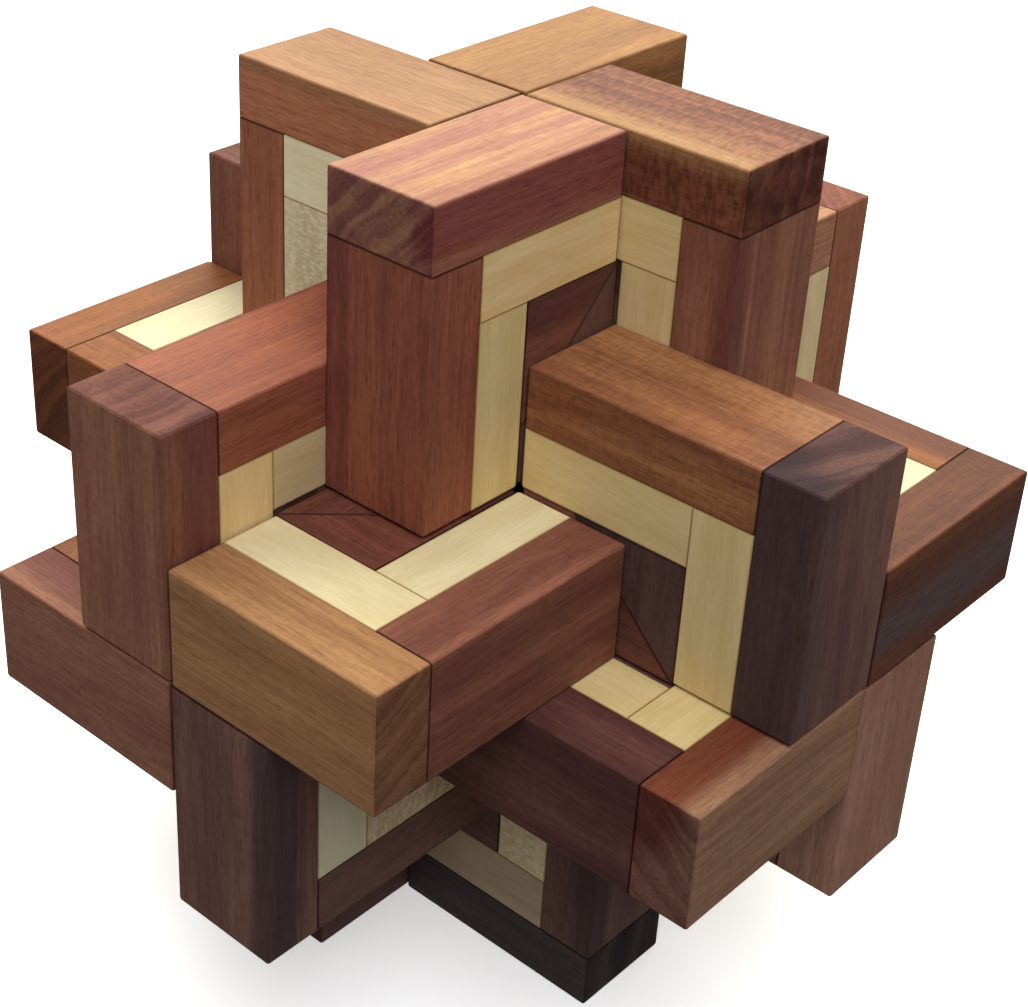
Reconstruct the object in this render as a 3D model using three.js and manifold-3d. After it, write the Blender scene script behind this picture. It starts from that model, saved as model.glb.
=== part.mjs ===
// A wooden burr puzzle of six equal puzzle pieces that slide apart all together.
// Every puzzle piece is glued up from four flat plates around a square core. Two of the plates, the arms,
// stand on the piece's own outer face. The other two, the hooks, are glued flat against the arms and reach
// round over the faces beside them. Each hook carries a wedge that lies on the sloped core of the next
// piece, so no piece leaves alone. A plate is an outer L of dark sticks, the frame, an inner L of light
// sticks, the liner, and a dark corner field with a seam at 45 degrees.
// Millimetres, +Z up. The origin is under the middle of the puzzle, on the surface it stands on.

import * as THREE from "three";
import { mergeVertices } from "three/addons/utils/BufferGeometryUtils.js";
import Module from "manifold-3d";

// Driving dimensions.
const STICK = 8; // width of a stick, and half the thickness of a plate before sanding
const PLAY = 0.3; // gap between two puzzle pieces, so that they slide
const RECESS = 0.6; // how far the faces of the core and wedges lie inside CORE; a plate face lies PLAY inside

// Distances from the middle of the puzzle, or from the plane that an arm and its hook are glued on.
const CORE = 2 * STICK; // half width of the core
const LINER = 3 * STICK; // outer side of the upright liner stick
const FRAME = 4 * STICK; // outer side of the upright frame stick
const LINER_BASE = 5 * STICK; // underside of the cross liner stick
const FRAME_BASE = 6 * STICK; // underside of the cross frame stick
const REACH = 7 * STICK; // outer face of the puzzle
const PLATE = CORE - PLAY; // thickness of a plate
const SLOPE_GAP = PLAY * Math.SQRT2; // height that a gap of PLAY takes on a slope of 45 degrees

const WOODS = {
  frame: { color: 0x7a4630, roughness: 0.55, metalness: 0 },
  liner: { color: 0xdcc48c, roughness: 0.6, metalness: 0 },
  wedge: { color: 0x6b3524, roughness: 0.6, metalness: 0 },
  core: { color: 0x5e3023, roughness: 0.6, metalness: 0 },
};

const wasm = await Module();
wasm.setup();

function woodMaterial(kind) {
  return new THREE.MeshStandardMaterial({ name: kind, ...WOODS[kind] });
}

// A prism whose outline is drawn in the plate's plane as [across, up] and whose thickness runs along +X.
function prism(outline, from, to) {
  const shape = new THREE.Shape(outline.map(([across, up]) => new THREE.Vector2(across, up)));
  const geometry = new THREE.ExtrudeGeometry(shape, { depth: to - from, bevelEnabled: false });
  geometry.translate(0, 0, from);
  const acrossUpThick = new THREE.Matrix4().makeBasis(
    new THREE.Vector3(0, 1, 0),
    new THREE.Vector3(0, 0, 1),
    new THREE.Vector3(1, 0, 0),
  );
  return geometry.applyMatrix4(acrossUpThick);
}

function toSolid(geometry) {
  const bare = geometry.clone();
  bare.deleteAttribute("normal");
  bare.deleteAttribute("uv");
  const merged = mergeVertices(bare);
  return new wasm.Manifold(
    new wasm.Mesh({
      numProp: 3,
      vertProperties: new Float32Array(merged.attributes.position.array),
      triVerts: new Uint32Array(merged.index.array),
    }),
  );
}

// Several touching prisms as one closed body.
function join(geometries) {
  const joined = geometries.map(toSolid).reduce((whole, next) => whole.add(next));
  const mesh = joined.getMesh();
  const geometry = new THREE.BufferGeometry();
  geometry.setAttribute("position", new THREE.BufferAttribute(new Float32Array(mesh.vertProperties), 3));
  geometry.setIndex(new THREE.BufferAttribute(new Uint32Array(mesh.triVerts), 1));
  geometry.computeVertexNormals();
  return geometry;
}

// Where the parts of a puzzle piece go. Each turn maps the arm that stands at x > 0, y < 0 onto another place.
const turnFrom = (x, y, z) =>
  new THREE.Matrix4().makeBasis(new THREE.Vector3(...x), new THREE.Vector3(...y), new THREE.Vector3(...z));
const ONTO_ARM = turnFrom([1, 0, 0], [0, 1, 0], [0, 0, 1]);
const ONTO_HOOK = turnFrom([-1, 0, 0], [0, 0, -1], [0, -1, 0]);
const QUARTER_TURN = turnFrom([0, 1, 0], [-1, 0, 0], [0, 0, 1]);
const HALF_TURN = turnFrom([-1, 0, 0], [0, -1, 0], [0, 0, 1]);
const THREE_QUARTER_TURN = new THREE.Matrix4().multiplyMatrices(HALF_TURN, QUARTER_TURN);

const moved = (geometry, turn) => geometry.clone().applyMatrix4(turn);

// The outer L: a long stick along the outer face and a stick down the free side, butted under it.
function frameGeometry() {
  return prism(
    [
      [-FRAME, CORE],
      [-LINER, CORE],
      [-LINER, FRAME_BASE],
      [-PLAY, FRAME_BASE],
      [-PLAY, REACH],
      [-FRAME, REACH],
    ],
    0,
    PLATE,
  );
}

// The inner L of two light sticks.
function linerGeometry() {
  return prism(
    [
      [-LINER, CORE],
      [-CORE, CORE],
      [-CORE, LINER_BASE],
      [-PLAY, LINER_BASE],
      [-PLAY, FRAME_BASE],
      [-LINER, FRAME_BASE],
    ],
    0,
    PLATE,
  );
}

// The liner of an arm and the liner of the hook glued to it, which meet on the glued plane.
function linerPairGeometry() {
  return join([moved(linerGeometry(), ONTO_ARM), moved(linerGeometry(), ONTO_HOOK)]);
}

// The triangle of wood in the inner corner of a hook's liner, lying on the next piece's sloped core.
function wedgeGeometry() {
  return prism(
    [
      [-CORE, LINER],
      [-PLAY, LINER_BASE - PLAY],
      [-PLAY, LINER_BASE],
      [-CORE, LINER_BASE],
    ],
    PLAY,
    CORE - RECESS,
  );
}

// The quarter of the core under one of the piece's own arms is square, with a step in its top inner edge.
function armQuarterGeometry() {
  return prism(
    [
      [-CORE, CORE + PLAY],
      [0, CORE + PLAY],
      [0, LINER_BASE - SLOPE_GAP],
      [-PLAY, LINER_BASE - SLOPE_GAP],
      [-PLAY, LINER_BASE],
      [-CORE, LINER_BASE],
    ],
    0,
    CORE - RECESS,
  );
}

// The quarter under the next piece's hook slopes down at 45 degrees to let that hook's wedge in.
function slopedQuarterGeometry() {
  return prism(
    [
      [-CORE + PLAY, CORE + PLAY],
      [0, CORE + PLAY],
      [0, LINER_BASE - SLOPE_GAP],
      [-CORE + PLAY, LINER + PLAY - SLOPE_GAP],
    ],
    0,
    CORE - RECESS,
  );
}

function coreGeometry() {
  return join([
    armQuarterGeometry(),
    moved(slopedQuarterGeometry(), QUARTER_TURN),
    moved(armQuarterGeometry(), HALF_TURN),
    moved(slopedQuarterGeometry(), THREE_QUARTER_TURN),
  ]);
}

const GEOMETRY = {
  armFrame: moved(frameGeometry(), ONTO_ARM),
  hookFrame: moved(frameGeometry(), ONTO_HOOK),
  linerPair: linerPairGeometry(),
  wedge: moved(wedgeGeometry(), ONTO_HOOK),
  core: coreGeometry(),
};

function part(name, geometry, kind) {
  const mesh = new THREE.Mesh(geometry, woodMaterial(kind));
  mesh.name = name;
  return mesh;
}

// One half of a puzzle piece: an arm, its hook, the liner pair and the hook's wedge.
function halfPiece(pieceName, number) {
  const half = new THREE.Group();
  half.add(
    part(`${pieceName}_arm_frame_${number}`, GEOMETRY.armFrame, "frame"),
    part(`${pieceName}_hook_frame_${number}`, GEOMETRY.hookFrame, "frame"),
    part(`${pieceName}_liner_pair_${number}`, GEOMETRY.linerPair, "liner"),
    part(`${pieceName}_wedge_${number}`, GEOMETRY.wedge, "wedge"),
  );
  return half;
}

// A whole puzzle piece, drawn as the one on top and turned into its place.
function puzzlePiece(name, turn) {
  const piece = new THREE.Group();
  const first = halfPiece(name, 1);
  const second = halfPiece(name, 2);
  second.applyMatrix4(HALF_TURN);
  piece.add(first, second, part(`${name}_core`, GEOMETRY.core, "core"));
  piece.applyMatrix4(turn);
  return piece;
}

// The six places, as the directions that the top piece's X, Y and Z axes turn to.
const PLACES = {
  top: turnFrom([1, 0, 0], [0, 1, 0], [0, 0, 1]),
  bottom: turnFrom([1, 0, 0], [0, -1, 0], [0, 0, -1]),
  right: turnFrom([0, 1, 0], [0, 0, 1], [1, 0, 0]),
  left: turnFrom([0, -1, 0], [0, 0, 1], [-1, 0, 0]),
  back: turnFrom([0, 0, 1], [1, 0, 0], [0, 1, 0]),
  front: turnFrom([0, 0, 1], [-1, 0, 0], [0, -1, 0]),
};

const puzzle = new THREE.Group();
for (const [name, turn] of Object.entries(PLACES)) {
  puzzle.add(puzzlePiece(name, turn));
}
puzzle.position.z = REACH;

export default puzzle;
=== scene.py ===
import math
import random

import bmesh
import bpy
from mathutils import Matrix, Vector


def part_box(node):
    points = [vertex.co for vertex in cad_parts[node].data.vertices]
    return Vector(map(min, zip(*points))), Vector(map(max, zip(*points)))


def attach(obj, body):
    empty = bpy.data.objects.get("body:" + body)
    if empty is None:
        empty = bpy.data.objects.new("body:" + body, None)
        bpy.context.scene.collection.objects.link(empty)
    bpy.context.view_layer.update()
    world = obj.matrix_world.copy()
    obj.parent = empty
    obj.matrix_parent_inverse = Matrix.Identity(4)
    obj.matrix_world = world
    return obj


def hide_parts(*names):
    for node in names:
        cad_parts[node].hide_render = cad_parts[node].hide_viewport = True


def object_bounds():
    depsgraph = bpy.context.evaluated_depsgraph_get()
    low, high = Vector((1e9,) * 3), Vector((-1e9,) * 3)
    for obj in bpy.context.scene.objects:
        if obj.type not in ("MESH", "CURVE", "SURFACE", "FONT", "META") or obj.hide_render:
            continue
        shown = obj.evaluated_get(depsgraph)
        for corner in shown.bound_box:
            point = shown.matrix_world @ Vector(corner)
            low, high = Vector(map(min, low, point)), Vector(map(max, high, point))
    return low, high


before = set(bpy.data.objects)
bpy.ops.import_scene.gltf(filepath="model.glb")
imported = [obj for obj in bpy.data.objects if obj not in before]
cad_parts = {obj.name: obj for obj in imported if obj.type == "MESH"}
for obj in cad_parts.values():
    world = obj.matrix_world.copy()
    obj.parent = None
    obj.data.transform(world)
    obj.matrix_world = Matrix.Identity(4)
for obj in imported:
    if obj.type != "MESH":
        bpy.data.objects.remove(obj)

CAD_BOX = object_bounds()

# A burr puzzle of six equal pieces. Each piece is glued up from 24 sticks, and here every stick is an object
# of its own, with its own wood, on the body of its puzzle piece.

# ---------------------------------------------------------------------------------------------------------
# Sizes, in metres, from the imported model. The puzzle is 14 sticks across each way.
# ---------------------------------------------------------------------------------------------------------
STICK = (CAD_BOX[1].x - CAD_BOX[0].x) / 14
MIDDLE = Vector((0, 0, 7 * STICK))


def extent(node, axis):
    """A node's lowest and highest place along an axis."""
    low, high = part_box(node)
    return low[axis], high[axis]


PLATE = extent("top_arm_frame_1", 0)[1]  # thickness of a plate, from the plane it is glued on
PLAY = 2 * STICK - PLATE  # gap between two puzzle pieces
SLOPE_GAP = PLAY * math.sqrt(2)  # how far up the play moves a face that slopes at 45 degrees
CORE_FACE = extent("top_core", 0)[1]  # how far the core reaches, a little short of the plates round it
CORE_FOOT = 2 * STICK + PLAY  # height where the core sticks begin

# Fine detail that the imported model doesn't have
SEAM = 0.00005  # half of the glue line along a 45 degree joint
JOINT = 0.00005  # the glue line between a bar and its post
EASE = 0.00035  # rounding of the outer edges
GLUED_EASE = 0.42  # the rounding of an edge along a glued joint, as a share of that
FLAT_WIDTH = 0.2 * STICK  # a narrower face lies on an eased edge
GROOVE_WIDTH = 0.55 * EASE  # a still narrower one lies on an edge along a glued joint


# ---------------------------------------------------------------------------------------------------------
# Where things go. The top piece's first arm stands at x > 0, y < 0, and turns map it onto all the others.
# ---------------------------------------------------------------------------------------------------------
def turn(x, y, z):
    """The rotation that takes the X, Y and Z axes to these directions."""
    return Matrix((x, y, z)).transposed().to_4x4()


PLACES = {
    "top": turn((1, 0, 0), (0, 1, 0), (0, 0, 1)),
    "bottom": turn((1, 0, 0), (0, -1, 0), (0, 0, -1)),
    "right": turn((0, 1, 0), (0, 0, 1), (1, 0, 0)),
    "left": turn((0, -1, 0), (0, 0, 1), (-1, 0, 0)),
    "back": turn((0, 0, 1), (1, 0, 0), (0, 1, 0)),
    "front": turn((0, 0, 1), (-1, 0, 0), (0, -1, 0)),
}
HALVES = {1: Matrix.Identity(4), 2: turn((-1, 0, 0), (0, -1, 0), (0, 0, 1))}
ONTO_ARM = Matrix.Identity(4)
ONTO_HOOK = turn((-1, 0, 0), (0, 0, -1), (0, -1, 0))
QUARTER_TURN = turn((0, 1, 0), (-1, 0, 0), (0, 0, 1))

# The two axes of a plate's plane. Its thickness runs along axis 0.
ACROSS, UP = 1, 2
# Turns a stick's own axes, with the grain along X, so that its grain runs along one of these
GRAIN_TURNS = {
    ACROSS: turn((0, 1, 0), (0, 0, 1), (1, 0, 0)),
    UP: turn((0, 0, 1), (0, 1, 0), (-1, 0, 0)),
}


def box_outline(across, up):
    """A rectangle between two places across and two places up."""
    return [(across[0], up[0]), (across[1], up[0]), (across[1], up[1]), (across[0], up[1])]


# Each stick of a plate: its outline as (across, up), where its thickness begins and ends, the axis that its
# grain runs along, and which sides of its outline are glued to a neighbour, counted from the first point.
BAR = (box_outline((-4 * STICK, -PLAY), (6 * STICK, 7 * STICK)), (0, PLATE), ACROSS, (0,))
POST = (box_outline((-4 * STICK, -3 * STICK), (2 * STICK, 6 * STICK - JOINT)), (0, PLATE), UP, (1, 2))
CROSS = (box_outline((-3 * STICK, -PLAY), (5 * STICK, 6 * STICK)), (0, PLATE), ACROSS, (0, 2, 3))
UPRIGHT = (box_outline((-3 * STICK, -2 * STICK), (2 * STICK, 5 * STICK)), (0, PLATE), UP, (2, 3))
# The triangle above the 45 degree glue line, in the corner of one of the piece's own arms
FILLER = (
    [
        (-2 * STICK, 3 * STICK + SEAM),
        (-PLAY, 5 * STICK - PLAY + SEAM),
        (-PLAY, 5 * STICK),
        (-2 * STICK, 5 * STICK),
    ],
    (0, CORE_FACE),
    ACROSS,
    (0, 2, 3),
)
# The triangle in the corner of a hook, which slides on the next piece's core
WEDGE = (
    [(-2 * STICK, 3 * STICK), (-PLAY, 5 * STICK - PLAY), (-PLAY, 5 * STICK), (-2 * STICK, 5 * STICK)],
    (PLAY, CORE_FACE),
    ACROSS,
    (0, 2, 3),
)
# The core stick below a filler
ARM_CORE = (
    [
        (-2 * STICK, CORE_FOOT),
        (0, CORE_FOOT),
        (0, 5 * STICK - 2 * SEAM),
        (-2 * STICK, 3 * STICK - 2 * SEAM),
    ],
    (0, CORE_FACE),
    UP,
    (2, 3),
)
# The core stick that another piece's wedge slides on
SLOPED_CORE = (
    [
        (PLAY - 2 * STICK, CORE_FOOT),
        (0, CORE_FOOT),
        (0, 5 * STICK - SLOPE_GAP),
        (PLAY - 2 * STICK, 3 * STICK + PLAY - SLOPE_GAP),
    ],
    (0, CORE_FACE),
    UP,
    (1, 2),
)


# ---------------------------------------------------------------------------------------------------------
# One stick
# ---------------------------------------------------------------------------------------------------------
def prism(name, outline, thick, glued):
    """The stick with sharp edges. Each edge's bevel weight says how far it is to be rounded."""
    maker = bmesh.new()
    weight = maker.edges.layers.float.new("bevel_weight_edge")
    ends = [[maker.verts.new((x, across, up)) for across, up in outline] for x in thick]
    count = len(outline)
    maker.faces.new(ends[0][::-1])
    maker.faces.new(ends[1])
    for i in range(count):
        j = (i + 1) % count
        side = maker.faces.new((ends[0][i], ends[0][j], ends[1][j], ends[1][i]))
        for edge in side.edges:
            edge[weight] = GLUED_EASE if i in glued else edge[weight] or 1
    bmesh.ops.recalc_face_normals(maker, faces=maker.faces)
    mesh = bpy.data.meshes.new(name)
    maker.to_mesh(mesh)
    maker.free()
    return mesh


def eased(stick):
    """The stick's mesh with its edges rounded by their weights."""
    bevel = stick.modifiers.new("eased_edges", "BEVEL")
    bevel.width = EASE
    bevel.segments = 2
    bevel.limit_method = "WEIGHT"
    bevel.use_clamp_overlap = True
    shape = stick.evaluated_get(bpy.context.evaluated_depsgraph_get())
    mesh = bpy.data.meshes.new_from_object(shape)
    stick.modifiers.remove(bevel)
    mesh.name = stick.name
    return mesh


OUTER_DIRT = 0.2  # how dark an outer edge is, where the groove along a glued joint is 1
END_TILT = (0.35, 0.75)  # how far a normal leans along the grain where end grain begins and is full


def dirt_of(width):
    """How dark a face of this width is. Only the faces of an eased edge are narrow, and only they are dark."""
    if width > FLAT_WIDTH:
        return 0
    return OUTER_DIRT if width > GROOVE_WIDTH else 1


def mark_faces(mesh):
    """Stores on each corner how far its face is end grain, and how dark its face is as an eased edge."""
    end = mesh.attributes.new("end_grain", "FLOAT", "CORNER")
    edge = mesh.attributes.new("eased", "FLOAT", "CORNER")
    for face in mesh.polygons:
        corners = [mesh.vertices[v].co for v in face.vertices]
        longest = max((a - b).length for a, b in zip(corners, corners[1:] + corners[:1]))
        dirt = dirt_of(face.area / longest)
        tilt = (abs(face.normal.x) - END_TILT[0]) / (END_TILT[1] - END_TILT[0])
        for loop in face.loop_indices:
            end.data[loop].value = min(1, max(0, tilt))
            edge.data[loop].value = dirt


def add_stick(name, body, place, outline, thick, grain, glued):
    """A stick whose local X runs along the grain, with its origin in its middle."""
    mesh = prism(name, outline, thick, glued)
    stick = bpy.data.objects.new(name, mesh)
    bpy.context.scene.collection.objects.link(stick)
    corners = [v.co for v in mesh.vertices]
    middle = sum(corners, Vector()) / len(corners)
    local = Matrix.Translation(middle) @ GRAIN_TURNS[grain]
    mesh.transform(local.inverted())
    stick.data = eased(stick)
    mark_faces(stick.data)
    stick.data.shade_smooth()
    stick.matrix_world = Matrix.Translation(MIDDLE) @ place @ local
    weighted = stick.modifiers.new("flat_faces", "WEIGHTED_NORMAL")
    weighted.keep_sharp = False
    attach(stick, body)
    return stick


# ---------------------------------------------------------------------------------------------------------
# Node helpers
# ---------------------------------------------------------------------------------------------------------
def linear(hex_colour):
    """An sRGB colour such as b5804f as linear red, green, blue and alpha."""
    parts = [int(hex_colour[i : i + 2], 16) / 255 for i in (0, 2, 4)]
    return [p / 12.92 if p <= 0.04045 else ((p + 0.055) / 1.055) ** 2.4 for p in parts] + [1]


# Sockets of the Mix node when it mixes colours
MIX_SHARE, MIX_A, MIX_B = 0, 6, 7
MIX_RESULT = 2


class Tree:
    """Adds linked nodes to a new material, with numbers or sockets as their inputs."""

    def __init__(self, name):
        self.material = bpy.data.materials.new(name)
        self.material.use_nodes = True
        self.nodes = self.material.node_tree.nodes
        self.links = self.material.node_tree.links
        self.shader = self.nodes["Principled BSDF"]

    def add(self, kind, inputs=(), **settings):
        node = self.nodes.new(kind)
        for key, value in settings.items():
            setattr(node, key, value)
        for key, value in dict(inputs).items():
            self.feed(node.inputs[key], value)
        return node

    def feed(self, socket, value):
        if isinstance(value, bpy.types.NodeSocket):
            self.links.new(value, socket)
        else:
            socket.default_value = value

    def maths(self, operation, a, b, c=0.0):
        return self.add("ShaderNodeMath", {0: a, 1: b, 2: c}, operation=operation).outputs[0]

    def vector_maths(self, operation, a, b, c=(0, 0, 0)):
        return self.add("ShaderNodeVectorMath", {0: a, 1: b, 2: c}, operation=operation).outputs[0]

    def times(self, a, b):
        return self.maths("MULTIPLY", a, b)

    def blend(self, a, share, b):
        """This share of a, and the rest of b."""
        return self.maths("MULTIPLY_ADD", a, share, self.times(b, 1 - share))

    def spread(self, value, none, full):
        """0 at none, 1 at full, smooth between."""
        node = self.add(
            "ShaderNodeMapRange",
            {"Value": value, "From Min": none, "From Max": full},
            interpolation_type="SMOOTHSTEP",
        )
        return node.outputs["Result"]

    def noise(self, space, scales, detail, roughness=0.5):
        """Noise with its own scale along each axis."""
        vector = self.vector_maths("MULTIPLY", space, scales)
        inputs = {"Vector": vector, "Scale": 1.0, "Detail": detail, "Roughness": roughness}
        return self.add("ShaderNodeTexNoise", inputs).outputs["Fac"]

    def mix(self, share, a, b, mode="MIX"):
        """This share of b over a."""
        node = self.add("ShaderNodeMix", data_type="RGBA", blend_type=mode)
        self.feed(node.inputs[MIX_SHARE], share)
        self.feed(node.inputs[MIX_A], a)
        self.feed(node.inputs[MIX_B], b)
        return node.outputs[MIX_RESULT]

    def shaded(self, colour, shade):
        """The colour multiplied by an sRGB shade."""
        return self.mix(1.0, colour, linear(shade), "MULTIPLY")

    def attribute(self, name):
        return self.add("ShaderNodeAttribute", attribute_name=name).outputs["Fac"]

    def wood_finish(self, colour, roughness, height, strength, depth):
        """Links a wood's colour, roughness and bump to the shader."""
        self.feed(self.shader.inputs["Base Color"], colour)
        self.feed(self.shader.inputs["Roughness"], roughness)
        self.shader.inputs["Specular IOR Level"].default_value = SHEEN
        bump = self.add("ShaderNodeBump", {"Height": height, "Strength": strength, "Distance": depth})
        self.feed(self.shader.inputs["Normal"], bump.outputs["Normal"])


# ---------------------------------------------------------------------------------------------------------
# Wood. Lengths inside the wood materials are millimetres along the stick's own axes, grain along X.
# ---------------------------------------------------------------------------------------------------------
MM_IN_METRE = 1000
SHEEN = 0.14  # how strongly the waxed wood mirrors

# Growth bands: how far the tree's middle lies to the side of the stick's, and the bands to the millimetre
DARK_BANDS = {"nearest": 14, "furthest": 60, "per_mm": 0.3}
LIGHT_BANDS = {"nearest": 30, "furthest": 90, "per_mm": 0.35}
BAND_OFFSET = 40  # how far at most the point that the bands go round is moved along the grain
BAND_WANDER = 4.5  # how far the bands stray from round
ALONG_GRAIN = 0.04  # what a millimetre along the grain counts for, where one across it counts for 1
MOST_SHIFT = 400  # how far at most a stick is moved through the noise, so that no two sticks repeat

# Noise scales, in waves to the millimetre, along the grain and both ways across it
WANDER = (0.015, 0.1, 0.1)
CLOUDS = (0.045, 0.16, 0.16)
LONG_FIBRES = (0.08, 1.7, 1.7)
SHORT_FIBRES = (0.45, 2.4, 2.4)
RIPPLES = (1.7, 0.6, 0.6)
PORES = (0.4, 6.5, 6.5)
LIGHT_CLOUDS = (0.1, 0.25, 0.25)
LIGHT_FIBRES = (0.25, 2.6, 2.6)
FLECKS = (1.9, 0.8, 0.8)

# Where a feature doesn't show yet and where it shows in full, on its noise's scale from 0 to 1
PALE_RANGE = (0.36, 0.64)
FIBRE_RANGE = (0.66, 0.34)
RIPPLE_RANGE = (0.4, 0.62)
PORE_RANGE = (0.6, 0.74)
RING_RANGE = (0.66, 0.36)
LIGHT_FIBRE_RANGE = (0.68, 0.36)
FLECK_RANGE = (0.42, 0.68)

# How much of each feature shows
BAND_SHARE = 0.5  # the rest is clouds
LONG_FIBRE_SHARE = 0.55  # the rest is short fibres
HEART_SHARE = 0.9
HEART_EDGE = (1.35, 0.55)  # where the heart begins and is full, as shares of its reach
HEART_WANDER = 5.0  # how far the growth bands move the heart's edge
RIPPLE_LOST = 0.75  # the share of the ripple that is missing in the heart
PORE_SHARE = 0.45
GROOVE_SHARE = 0.8
LIGHT_GROOVE_SHARE = 0.6

# Roughness of the wood, and what fibres and end grain add to it
ROUGHNESS, FIBRE_ROUGHNESS, END_ROUGHNESS = 0.4, 0.25, 0.12
LIGHT_ROUGHNESS, LIGHT_FIBRE_ROUGHNESS = 0.46, 0.2
# Bump: strength and depth in metres, and the heights of pores and fibres as shares of that depth
BUMP = (0.3, 0.00008)
LIGHT_BUMP = (0.15, 0.00006)
PORE_HEIGHT, FIBRE_HEIGHT = -0.6, 0.5

# Shades that a wood's own colour is multiplied by
FIBRE_SHADE = "ddd6d2"
PORE_SHADE = "8c7f7c"
RIPPLE_SHADE = "ccbeb4"
END_SHADE = "d3cad8"
RING_SHADE = "e0d8da"
LIGHT_FIBRE_SHADE = "f8f5ee"
LIGHT_END_SHADE = "e2d4b8"
LIGHT_EDGE_SHADE = "b39a72"
# The colour of the flecks
FLECK = "fff6dc"


def wood_space(tree, seed):
    """The stick's own coordinates in millimetres, and the same moved at random."""
    metres = tree.add("ShaderNodeTexCoord").outputs["Object"]
    place = tree.vector_maths("MULTIPLY", metres, [MM_IN_METRE] * 3)
    shift = [seed.uniform(-MOST_SHIFT, MOST_SHIFT) for _ in range(3)]
    return place, tree.vector_maths("ADD", place, shift)


def distance_from(tree, place, centre):
    """Distance from an axis that runs almost along the grain through this point."""
    scales = (ALONG_GRAIN, 1, 1)
    offset = [-c * s for c, s in zip(centre, scales)]
    flat = tree.vector_maths("MULTIPLY_ADD", place, scales, offset)
    return tree.add("ShaderNodeVectorMath", {0: flat}, operation="LENGTH").outputs["Value"]


def growth_bands(tree, place, space, seed, nearest, furthest, per_mm):
    """Soft bands round the tree's middle, which lies some way outside the stick."""
    angle = seed.uniform(0, math.tau)
    away = seed.uniform(nearest, furthest)
    centre = (seed.uniform(-BAND_OFFSET, BAND_OFFSET), away * math.cos(angle), away * math.sin(angle))
    wander = tree.noise(space, WANDER, 2.0)
    radius = tree.maths("MULTIPLY_ADD", wander, BAND_WANDER, distance_from(tree, place, centre))
    inputs = {"W": radius, "Scale": per_mm, "Detail": 3.0, "Roughness": 0.6}
    return tree.add("ShaderNodeTexNoise", inputs, noise_dimensions="1D").outputs["Fac"]


def heart_zone(tree, place, bands, heart, reach):
    """1 in the heart and 0 outside it, with an edge that follows the growth bands."""
    stray = tree.maths("MULTIPLY_ADD", bands, HEART_WANDER, distance_from(tree, place, heart))
    begins, full = (reach * edge + HEART_WANDER / 2 for edge in HEART_EDGE)
    return tree.spread(stray, begins, full)


def dark_wood(name, tone, heart, reach, seed):
    """Mahogany-like wood: growth bands, a heart, fibres, a ripple, short dark pores and darker end grain."""
    pale, deep, heart_colour, ripple = tone
    tree = Tree(name)
    place, space = wood_space(tree, seed)
    bands = growth_bands(tree, place, space, seed, **DARK_BANDS)
    cloud = tree.noise(space, CLOUDS, 2.0)
    share = tree.blend(bands, BAND_SHARE, cloud)
    colour = tree.mix(tree.spread(share, *PALE_RANGE), linear(deep), linear(pale))
    zone = heart_zone(tree, place, bands, heart, reach)
    colour = tree.mix(tree.times(zone, HEART_SHARE), colour, linear(heart_colour))

    long_fibre = tree.noise(space, LONG_FIBRES, 3.0, 0.6)
    short_fibre = tree.noise(space, SHORT_FIBRES, 3.0, 0.6)
    fibre = tree.blend(long_fibre, LONG_FIBRE_SHARE, short_fibre)
    colour = tree.mix(tree.spread(fibre, *FIBRE_RANGE), colour, tree.shaded(colour, FIBRE_SHADE))
    waves = tree.spread(tree.noise(space, RIPPLES, 1.0), *RIPPLE_RANGE)
    ripple_share = tree.maths("MULTIPLY_ADD", zone, -RIPPLE_LOST * ripple, ripple)
    colour = tree.mix(tree.times(waves, ripple_share), colour, tree.shaded(colour, RIPPLE_SHADE))
    pore_mask = tree.spread(tree.noise(space, PORES, 1.0, 0.4), *PORE_RANGE)
    pore_colour = tree.shaded(colour, PORE_SHADE)
    colour = tree.mix(tree.times(pore_mask, PORE_SHARE), colour, pore_colour)

    end = tree.attribute("end_grain")
    end_colour = tree.shaded(colour, END_SHADE)
    rings = tree.spread(bands, *RING_RANGE)
    end_colour = tree.mix(rings, end_colour, tree.shaded(end_colour, RING_SHADE))
    colour = tree.mix(end, colour, end_colour)
    colour = tree.mix(tree.times(tree.attribute("eased"), GROOVE_SHARE), colour, pore_colour)

    rough = tree.maths("MULTIPLY_ADD", fibre, FIBRE_ROUGHNESS, ROUGHNESS)
    rough = tree.maths("MULTIPLY_ADD", end, END_ROUGHNESS, rough)
    height = tree.maths("MULTIPLY_ADD", pore_mask, PORE_HEIGHT, tree.times(fibre, FIBRE_HEIGHT))
    tree.wood_finish(colour, rough, height, *BUMP)
    return tree.material


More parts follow.
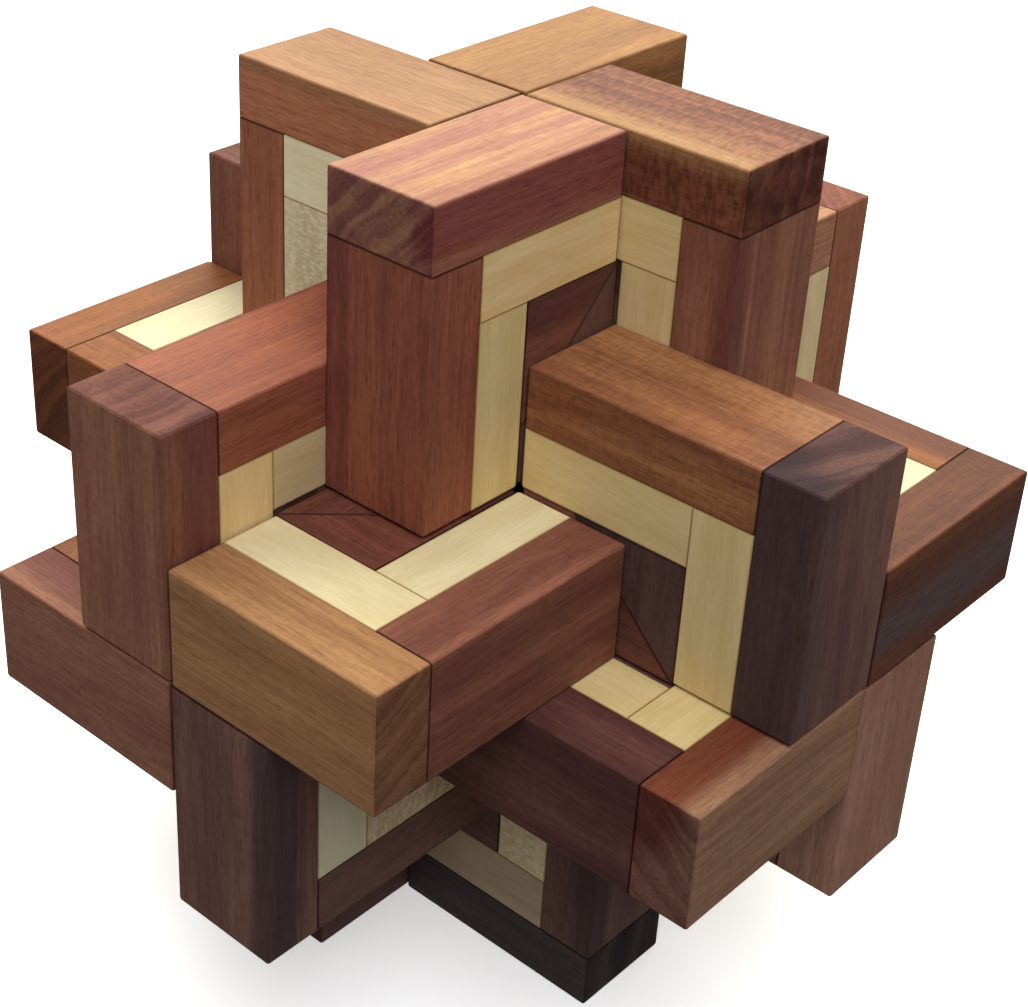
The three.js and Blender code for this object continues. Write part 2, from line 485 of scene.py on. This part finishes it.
def light_wood(name, tone, seed):
    """Pale close-grained wood: faint bands and clouds, fine fibres, and on some sticks pale flecks."""
    pale, deep, flecks = tone
    tree = Tree(name)
    place, space = wood_space(tree, seed)
    bands = growth_bands(tree, place, space, seed, **LIGHT_BANDS)
    cloud = tree.noise(space, LIGHT_CLOUDS, 3.0)
    share = tree.blend(bands, BAND_SHARE, cloud)
    colour = tree.mix(tree.spread(share, *PALE_RANGE), linear(deep), linear(pale))
    fibre = tree.noise(space, LIGHT_FIBRES, 4.0, 0.65)
    fibre_colour = tree.shaded(colour, LIGHT_FIBRE_SHADE)
    colour = tree.mix(tree.spread(fibre, *LIGHT_FIBRE_RANGE), colour, fibre_colour)
    fleck_mask = tree.spread(tree.noise(space, FLECKS, 2.0, 0.6), *FLECK_RANGE)
    colour = tree.mix(tree.times(fleck_mask, flecks), colour, linear(FLECK))
    colour = tree.mix(tree.attribute("end_grain"), colour, tree.shaded(colour, LIGHT_END_SHADE))
    groove = tree.times(tree.attribute("eased"), LIGHT_GROOVE_SHARE)
    colour = tree.mix(groove, colour, tree.shaded(colour, LIGHT_EDGE_SHADE))
    rough = tree.maths("MULTIPLY_ADD", fibre, LIGHT_FIBRE_ROUGHNESS, LIGHT_ROUGHNESS)
    tree.wood_finish(colour, rough, fibre, *LIGHT_BUMP)
    return tree.material


# ---------------------------------------------------------------------------------------------------------
# Which wood each stick has
# ---------------------------------------------------------------------------------------------------------
# Dark woods: pale and deep bands, heart, and how strong the ripple across the grain is
DARK = {
    "golden": ("b38559", "a2754d", "926448", 0.1),
    "apricot": ("b48860", "a67a54", "c4805c", 0.05),
    "honey": ("b48451", "a27247", "866039", 0.1),
    "rose": ("c8996e", "b07868", "8c4944", 0.15),
    "amber": ("a8744c", "88543a", "724834", 0.3),
    "ribbon": ("a0664a", "7e4b38", "b98c5c", 0.8),
    "copper": ("b97a5b", "a96c50", "88533f", 0.1),
    "ruddy": ("9d5f48", "89503f", "77403e", 0.1),
    "coral": ("aa664a", "945642", "7f433f", 0.1),
    "russet": ("8f5c49", "794a3d", "653e38", 0.15),
    "walnut": ("a17058", "8d5c49", "7a4941", 0.15),
    "cinnamon": ("b58873", "a5775f", "8f604f", 0.05),
    "tawny": ("aa8062", "9a7058", "783a26", 0.15),
    "chestnut": ("9d6a46", "8a5a3e", "7a4c38", 0.1),
    "hazel": ("9c6138", "8a5634", "6e4230", 0.15),
    "sandy": ("c59374", "b3805f", "92684d", 0.1),
    "smoky": ("7c4a30", "643a28", "5d5052", 0.3),
    "mulberry": ("6e4840", "563430", "4a2e30", 0.15),
    "umber": ("7b594d", "694b43", "503a38", 0.15),
    "plum": ("845f51", "6a4843", "4a3939", 0.1),
    "ember": ("7e4b3b", "683d33", "562c28", 0.2),
    "dusk": ("634a44", "523a38", "5c3c38", 0.2),
    "sable": ("5c4c49", "483d3c", "393132", 0.1),
}
# Light woods: pale and deep bands, and how strong the flecks are
LIGHT = {
    "maple": ("edd39c", "e4c488", 0.0),
    "cream": ("f0deb0", "e8d29e", 0.0),
    # This pale wood tone is made paler still as painted light, standing in for more light falling on the one
    # stick that uses it
    "ivory": ("fff8d2", "f8ecc2", 0.0),
    "linen": ("e1d3a8", "d7c698", 0.0),
    "biscuit": ("e2cc95", "d8c086", 0.0),
    "bone": ("dfd5b4", "d4caa6", 0.0),
    "wheat": ("d8c298", "ccb487", 0.0),
    "speckled": ("e9d0a2", "dcc292", 0.45),
    "frosted": ("ebdeb4", "decfa2", 0.6),
    "drab": ("bea88a", "b29b7e", 0.0),
    "tan": ("cbae86", "bd9f79", 0.35),
}
# Sticks whose wood is chosen: its tone, and for some the heart's place from the stick's middle, in sticks
# along the world's X, Y and Z, and the heart's reach in sticks. The others draw theirs at random.
CHOSEN = {
    "top_arm_1_bar": ("rose", (1.14, 0, 0.08), 0.6),
    "top_arm_1_post": ("ruddy", (-1.2, 0, 0), 0.7),
    "top_arm_1_core": ("umber",),
    "top_arm_2_bar": ("honey",),
    "top_arm_2_post": ("copper",),
    "top_hook_1_bar": ("walnut", (1.3, 0.4, 0), 0.7),
    "top_hook_1_post": ("coral", (-1.2, -1.5, 0.2), 0.5),
    "top_hook_2_bar": ("copper",),
    "top_hook_2_post": ("sandy",),
    "right_arm_1_bar": ("cinnamon",),
    "right_arm_1_post": ("walnut",),
    "right_arm_2_bar": ("plum", (-0.3, -1.2, 0), 1.0),
    "right_arm_2_post": ("amber",),
    "right_arm_2_core": ("russet",),
    "right_arm_2_filler": ("dusk",),
    "right_hook_1_bar": ("sable",),
    "right_hook_1_post": ("umber",),
    "right_hook_2_bar": ("ribbon", (0, -0.7, 0.92), 0.55),
    "right_hook_2_post": ("walnut", (0.7, -1.0, 0), 0.5),
    "left_arm_2_bar": ("walnut",),
    "left_hook_2_bar": ("apricot", (0, -1.2, -0.3), 0.8),
    "left_hook_2_post": ("copper",),
    "front_arm_1_bar": ("golden",),
    "front_arm_1_post": ("russet",),
    "front_arm_1_core": ("ember",),
    "front_arm_1_filler": ("ember",),
    "front_arm_2_bar": ("walnut",),
    "front_arm_2_post": ("chestnut",),
    "front_hook_1_bar": ("tawny", (-0.6, 0, 0.7), 0.9),
    "front_hook_1_post": ("mulberry",),
    "front_hook_2_bar": ("hazel", (0, 0, -3), 0.5),
    "front_hook_2_post": ("hazel",),
    "back_hook_2_bar": ("smoky", (1.1, 0, -0.2), 0.62),
    "back_hook_2_post": ("hazel",),
    "bottom_arm_2_bar": ("umber",),
    "bottom_sloped_core_1": ("umber",),
    "bottom_hook_2_bar": ("plum",),
    "bottom_hook_2_post": ("umber",),
    "top_hook_1_upright": ("wheat",),
    "front_hook_1_upright": ("biscuit",),
    # This stick's paleness is partly its own pale wood and partly painted light
    "left_hook_2_cross": ("ivory",),
    "left_hook_2_upright": ("frosted",),
    "front_hook_2_cross": ("bone",),
    "back_hook_2_cross": ("bone",),
    "front_arm_1_cross": ("linen",),
    "front_arm_1_upright": ("linen",),
    "right_arm_2_cross": ("biscuit",),
    "right_arm_2_upright": ("biscuit",),
    "top_arm_1_cross": ("maple",),
    "top_hook_1_cross": ("maple",),
    "front_hook_1_cross": ("biscuit",),
    "top_arm_1_upright": ("biscuit",),
    "right_hook_1_cross": ("drab",),
    "right_hook_1_upright": ("speckled",),
    "right_hook_2_cross": ("biscuit",),
    "right_hook_2_upright": ("biscuit",),
    "bottom_hook_2_cross": ("bone",),
    "bottom_hook_2_upright": ("tan",),
}
# What the other sticks choose from: light sticks, core sticks, and all other dark sticks
COMMON_LIGHT = ["maple", "maple", "cream"]
COMMON_CORE = ["ember", "russet", "umber"]
COMMON_DARK = list(DARK)
# In sticks: how far at most a random heart lies from the stick's middle along the stick's own Y and Z, and
# the least and most that it reaches
HEART_SPREAD = (1.3, 0.9)
HEART_REACH = (0.3, 0.8)


def finish_wood(stick, slot):
    """Gives a stick its own wood, always the same for the same name."""
    seed = random.Random(stick.name)
    material_name = stick.name + "_wood"
    chosen = CHOSEN.get(stick.name)
    if slot == "light_wood":
        tone = chosen[0] if chosen else seed.choice(COMMON_LIGHT)
        material = light_wood(material_name, LIGHT[tone], seed)
    else:
        tone = chosen[0] if chosen else seed.choice(COMMON_CORE if slot == "core_wood" else COMMON_DARK)
        spin = seed.uniform(0, math.tau)
        heart = Vector((0, HEART_SPREAD[0] * math.cos(spin), HEART_SPREAD[1] * math.sin(spin)))
        reach = seed.uniform(*HEART_REACH)
        if chosen and len(chosen) > 1:
            heart = stick.matrix_world.to_3x3().inverted() @ Vector(chosen[1])
            reach = chosen[2]
        in_mm = MM_IN_METRE * STICK
        material = dark_wood(material_name, DARK[tone], heart * in_mm, reach * in_mm, seed)
    stick.data.materials.append(material)


# ---------------------------------------------------------------------------------------------------------
# The puzzle
# ---------------------------------------------------------------------------------------------------------
def build_stick(node, name, body, place, shape, slot):
    """A finished stick that stands for part of this CAD node."""
    stick = add_stick(name, body, place, *shape)
    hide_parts(node)
    finish_wood(stick, slot)


def build_half(piece, number):
    """One arm and one hook of a puzzle piece, with the core sticks behind them."""
    base = PLACES[piece] @ HALVES[number]
    for kind, onto in (("arm", ONTO_ARM), ("hook", ONTO_HOOK)):
        plate = f"{piece}_{kind}_{number}"
        frame_node = f"{piece}_{kind}_frame_{number}"
        liner_node = f"{piece}_liner_pair_{number}"
        build_stick(frame_node, plate + "_bar", piece, base @ onto, BAR, "dark_wood")
        build_stick(frame_node, plate + "_post", piece, base @ onto, POST, "dark_wood")
        build_stick(liner_node, plate + "_cross", piece, base @ onto, CROSS, "light_wood")
        build_stick(liner_node, plate + "_upright", piece, base @ onto, UPRIGHT, "light_wood")
    arm = f"{piece}_arm_{number}"
    sloped_core = f"{piece}_sloped_core_{number}"
    core_node = f"{piece}_core"
    build_stick(core_node, arm + "_core", piece, base @ ONTO_ARM, ARM_CORE, "core_wood")
    build_stick(core_node, arm + "_filler", piece, base @ ONTO_ARM, FILLER, "core_wood")
    build_stick(core_node, sloped_core, piece, base @ QUARTER_TURN, SLOPED_CORE, "core_wood")
    wedge_node = f"{piece}_wedge_{number}"
    build_stick(wedge_node, f"{piece}_hook_{number}_wedge", piece, base @ ONTO_HOOK, WEDGE, "core_wood")


for piece_name in PLACES:
    for half_number in HALVES:
        build_half(piece_name, half_number)


# ---------------------------------------------------------------------------------------------------------
# Floor, light and camera
# ---------------------------------------------------------------------------------------------------------
STAGE_REACH = 300 * STICK
STAGE_SIDES = 96
FLOOR_GLOW = 0.5
BACKDROP_GLOW = 0.6
STAGE_PALE, STAGE_PALEST = "f4f3f1", "fbfaf9"
STAGE_MOTTLE = (6.0, 6.0, 6.0)  # waves to the metre


def stage_material(name, glow):
    """A pale matt surface that gives off a little light, so that it stays pale far from the lamps."""
    tree = Tree(name)
    place = tree.add("ShaderNodeTexCoord").outputs["Object"]
    mottle = tree.noise(place, STAGE_MOTTLE, 3.0)
    pale = tree.mix(mottle, linear(STAGE_PALE), linear(STAGE_PALEST))
    tree.feed(tree.shader.inputs["Base Color"], pale)
    tree.feed(tree.shader.inputs["Emission Color"], pale)
    tree.shader.inputs["Emission Strength"].default_value = glow
    tree.shader.inputs["Roughness"].default_value = 0.8
    tree.shader.inputs["Specular IOR Level"].default_value = 0
    return tree.material


def make_stage():
    """A floor and, far off, a dome over it. Neither lights the puzzle or shows in its gloss."""
    middle = (0, 0, 0)
    bpy.ops.mesh.primitive_circle_add(
        vertices=STAGE_SIDES, radius=STAGE_REACH, fill_type="NGON", location=middle
    )
    floor = bpy.context.object
    floor.name = "floor"
    floor.data.materials.append(stage_material("pale_floor", FLOOR_GLOW))
    bpy.ops.mesh.primitive_uv_sphere_add(
        segments=STAGE_SIDES, ring_count=STAGE_SIDES // 2, radius=STAGE_REACH, location=middle
    )
    dome = bpy.context.object
    dome.name = "backdrop"
    dome.data.materials.append(stage_material("pale_backdrop", BACKDROP_GLOW))
    dome.visible_shadow = False
    for part in (floor, dome):
        part.visible_diffuse = False
        part.visible_glossy = False


def direction(azimuth, elevation):
    """Towards where a view from these angles stands: azimuth 0 looks along +Y, with +X to the right."""
    a, e = math.radians(azimuth), math.radians(elevation)
    return Vector((math.sin(a) * math.cos(e), -math.cos(a) * math.cos(e), math.sin(e)))


def area_light(name, azimuth, elevation, distance, size, power, colour):
    """A square soft light aimed at the middle of the puzzle."""
    light = bpy.data.lights.new(name, "AREA")
    light.shape = "SQUARE"
    light.size = size
    light.energy = power
    light.color = colour
    holder = bpy.data.objects.new(name, light)
    bpy.context.scene.collection.objects.link(holder)
    holder.location = MIDDLE + direction(azimuth, elevation) * distance
    holder.rotation_euler = (MIDDLE - holder.location).to_track_quat("-Z", "Y").to_euler()


# The camera. Its aim is in sticks from the middle of the puzzle, and its distance in sticks from its aim.
CAMERA_AZIMUTH = 41.436
CAMERA_ELEVATION = 30.24
CAMERA_DISTANCE = 32.5
CAMERA_AIM = (-0.923, -0.26, 0.713)
CAMERA_ROLL = 2.424
CAMERA_LENS = 69.87
CAMERA_SENSOR = 36  # millimetres, like the lens
CAMERA_SHIFT = (0.0632, -0.0526)
CAMERA_CLIP = (0.01, 50)


def make_camera():
    """A camera on its line of sight, turned about it by the roll."""
    aim = MIDDLE + Vector(CAMERA_AIM) * STICK
    data = bpy.data.cameras.new("camera")
    data.sensor_width = CAMERA_SENSOR
    data.lens = CAMERA_LENS
    data.shift_x, data.shift_y = CAMERA_SHIFT
    data.clip_start, data.clip_end = CAMERA_CLIP
    camera = bpy.data.objects.new("camera", data)
    bpy.context.scene.collection.objects.link(camera)
    away = direction(CAMERA_AZIMUTH, CAMERA_ELEVATION)
    camera.location = aim + away * CAMERA_DISTANCE * STICK
    level = (-away).to_track_quat("-Z", "Y").to_matrix()
    camera.rotation_euler = (level @ Matrix.Rotation(math.radians(CAMERA_ROLL), 3, "Z")).to_euler()
    bpy.context.scene.camera = camera


def make_world(strength):
    """White light from all round."""
    world = bpy.data.worlds.new("studio")
    world.use_nodes = True
    background = world.node_tree.nodes["Background"]
    background.inputs["Color"].default_value = (1, 1, 1, 1)
    background.inputs["Strength"].default_value = strength
    bpy.context.scene.world = world


make_stage()
area_light("window", azimuth=215, elevation=50, distance=1.2, size=1.4, power=26, colour=(1, 0.965, 0.83))
area_light("room", azimuth=45, elevation=60, distance=1.2, size=1.0, power=12.2, colour=(0.98, 0.99, 1.05))
make_camera()
make_world(strength=0.2)
bpy.context.scene.view_settings.view_transform = "Standard"
